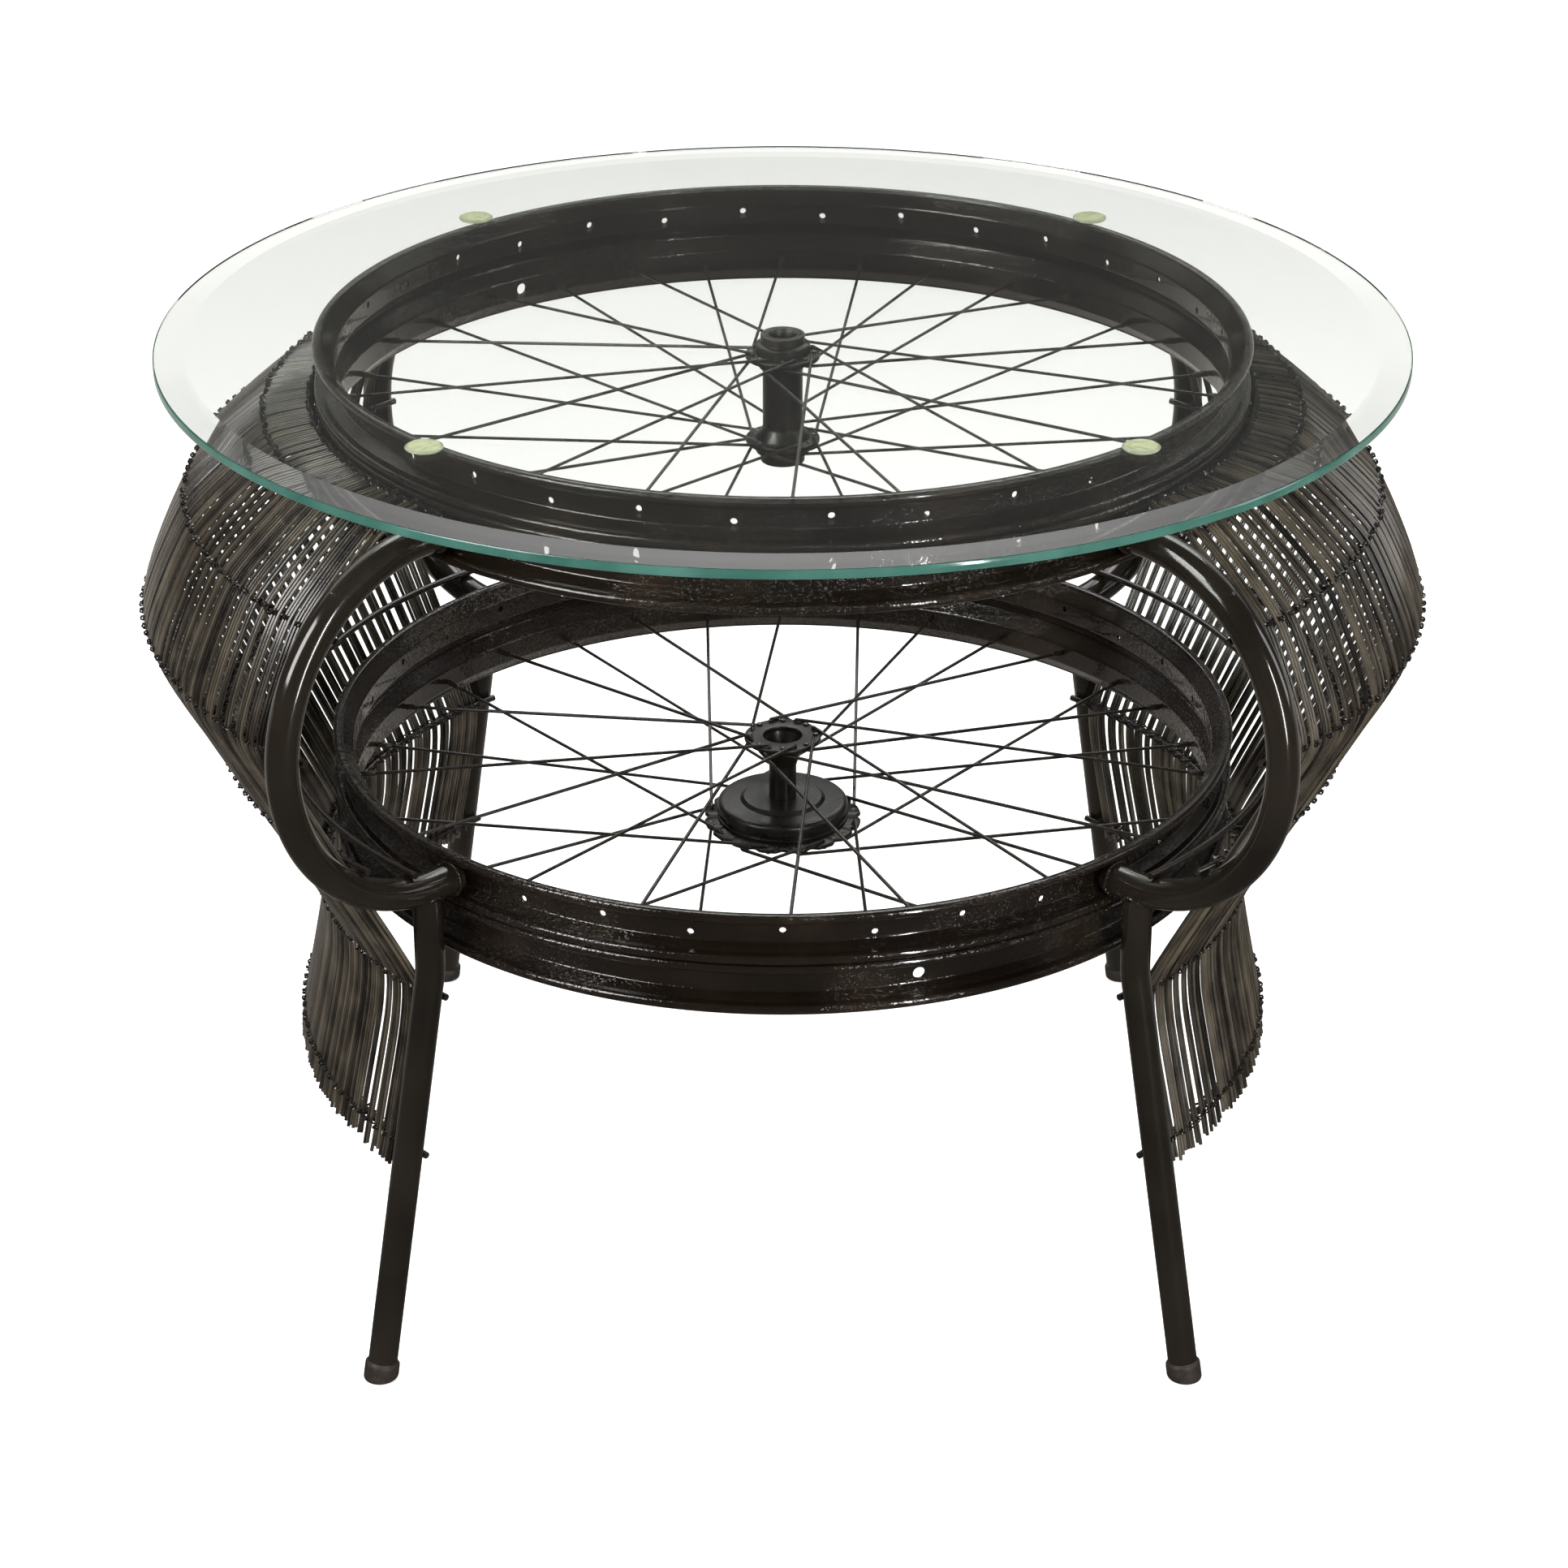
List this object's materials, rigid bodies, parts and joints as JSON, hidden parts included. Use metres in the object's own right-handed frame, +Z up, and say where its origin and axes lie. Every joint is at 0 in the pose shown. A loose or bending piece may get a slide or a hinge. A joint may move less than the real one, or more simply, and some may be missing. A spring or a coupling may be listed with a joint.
{
  "type": "coffee table",
  "caption": "Round glass coffee table on stacked bicycle wheels, with C-shaped bent tubes, splayed legs and outward-bowed sides of tied cane.",
  "frame": {"origin": "on the floor, straight below the centre of the glass", "axes": "+Z up, +X to the right as seen from the open front, +Y to the back"},
  "size_m": [0.9052, 0.8612, 0.6786],
  "materials": {
    "clear_glass": "clear polished glass with a ground bevel and a green edge",
    "clear_pad": "clear soft plastic with a green-yellow cast",
    "black_enamel": "worn black gloss enamel over pitted steel",
    "black_tube": "smooth black gloss enamel",
    "black_rod": "black gloss enamel",
    "dark_wire": "black satin enamel",
    "dark_hub": "black satin enamel with wear",
    "foot_rubber": "dark brown rubber",
    "cane": "dark brown-grey satin"
  },
  "bodies": {
    "stand": {"glass_pads": "clear_pad", "upper_open_rim": "black_enamel", "upper_spoked_rim": "black_enamel", "lower_open_rim": "black_enamel", "lower_spoked_rim": "black_enamel", "upper_spokes": "dark_wire", "upper_nipples": "dark_wire", "upper_hub_shell": "dark_hub", "upper_hub_cups": "dark_hub", "lower_spokes": "dark_wire", "lower_nipples": "dark_wire", "lower_hub_shell": "dark_hub", "brake_drum": "dark_hub", "spoke_plate": "dark_hub", "brake_back_plate": "dark_hub", "scroll_tube_back_right": "black_tube", "leg_back_right": "black_tube", "foot_cap_back_right": "foot_rubber", "scroll_tube_back_left": "black_tube", "leg_back_left": "black_tube", "foot_cap_back_left": "foot_rubber", "scroll_tube_front_left": "black_tube", "leg_front_left": "black_tube", "foot_cap_front_left": "foot_rubber", "scroll_tube_front_right": "black_tube", "leg_front_right": "black_tube", "foot_cap_front_right": "foot_rubber", "cane_rods_right": "black_rod", "cane_strands_right": "cane", "cane_rods_left": "black_rod", "cane_strands_left": "cane"},
    "glass": {"glass_top": "clear_glass"}
  },
  "joints": [
    {"name": "glass_lift", "type": "slide", "parent": "stand", "child": "glass", "axis": [0, 0, 1], "range_m": [0, 0.3]}
  ]
}
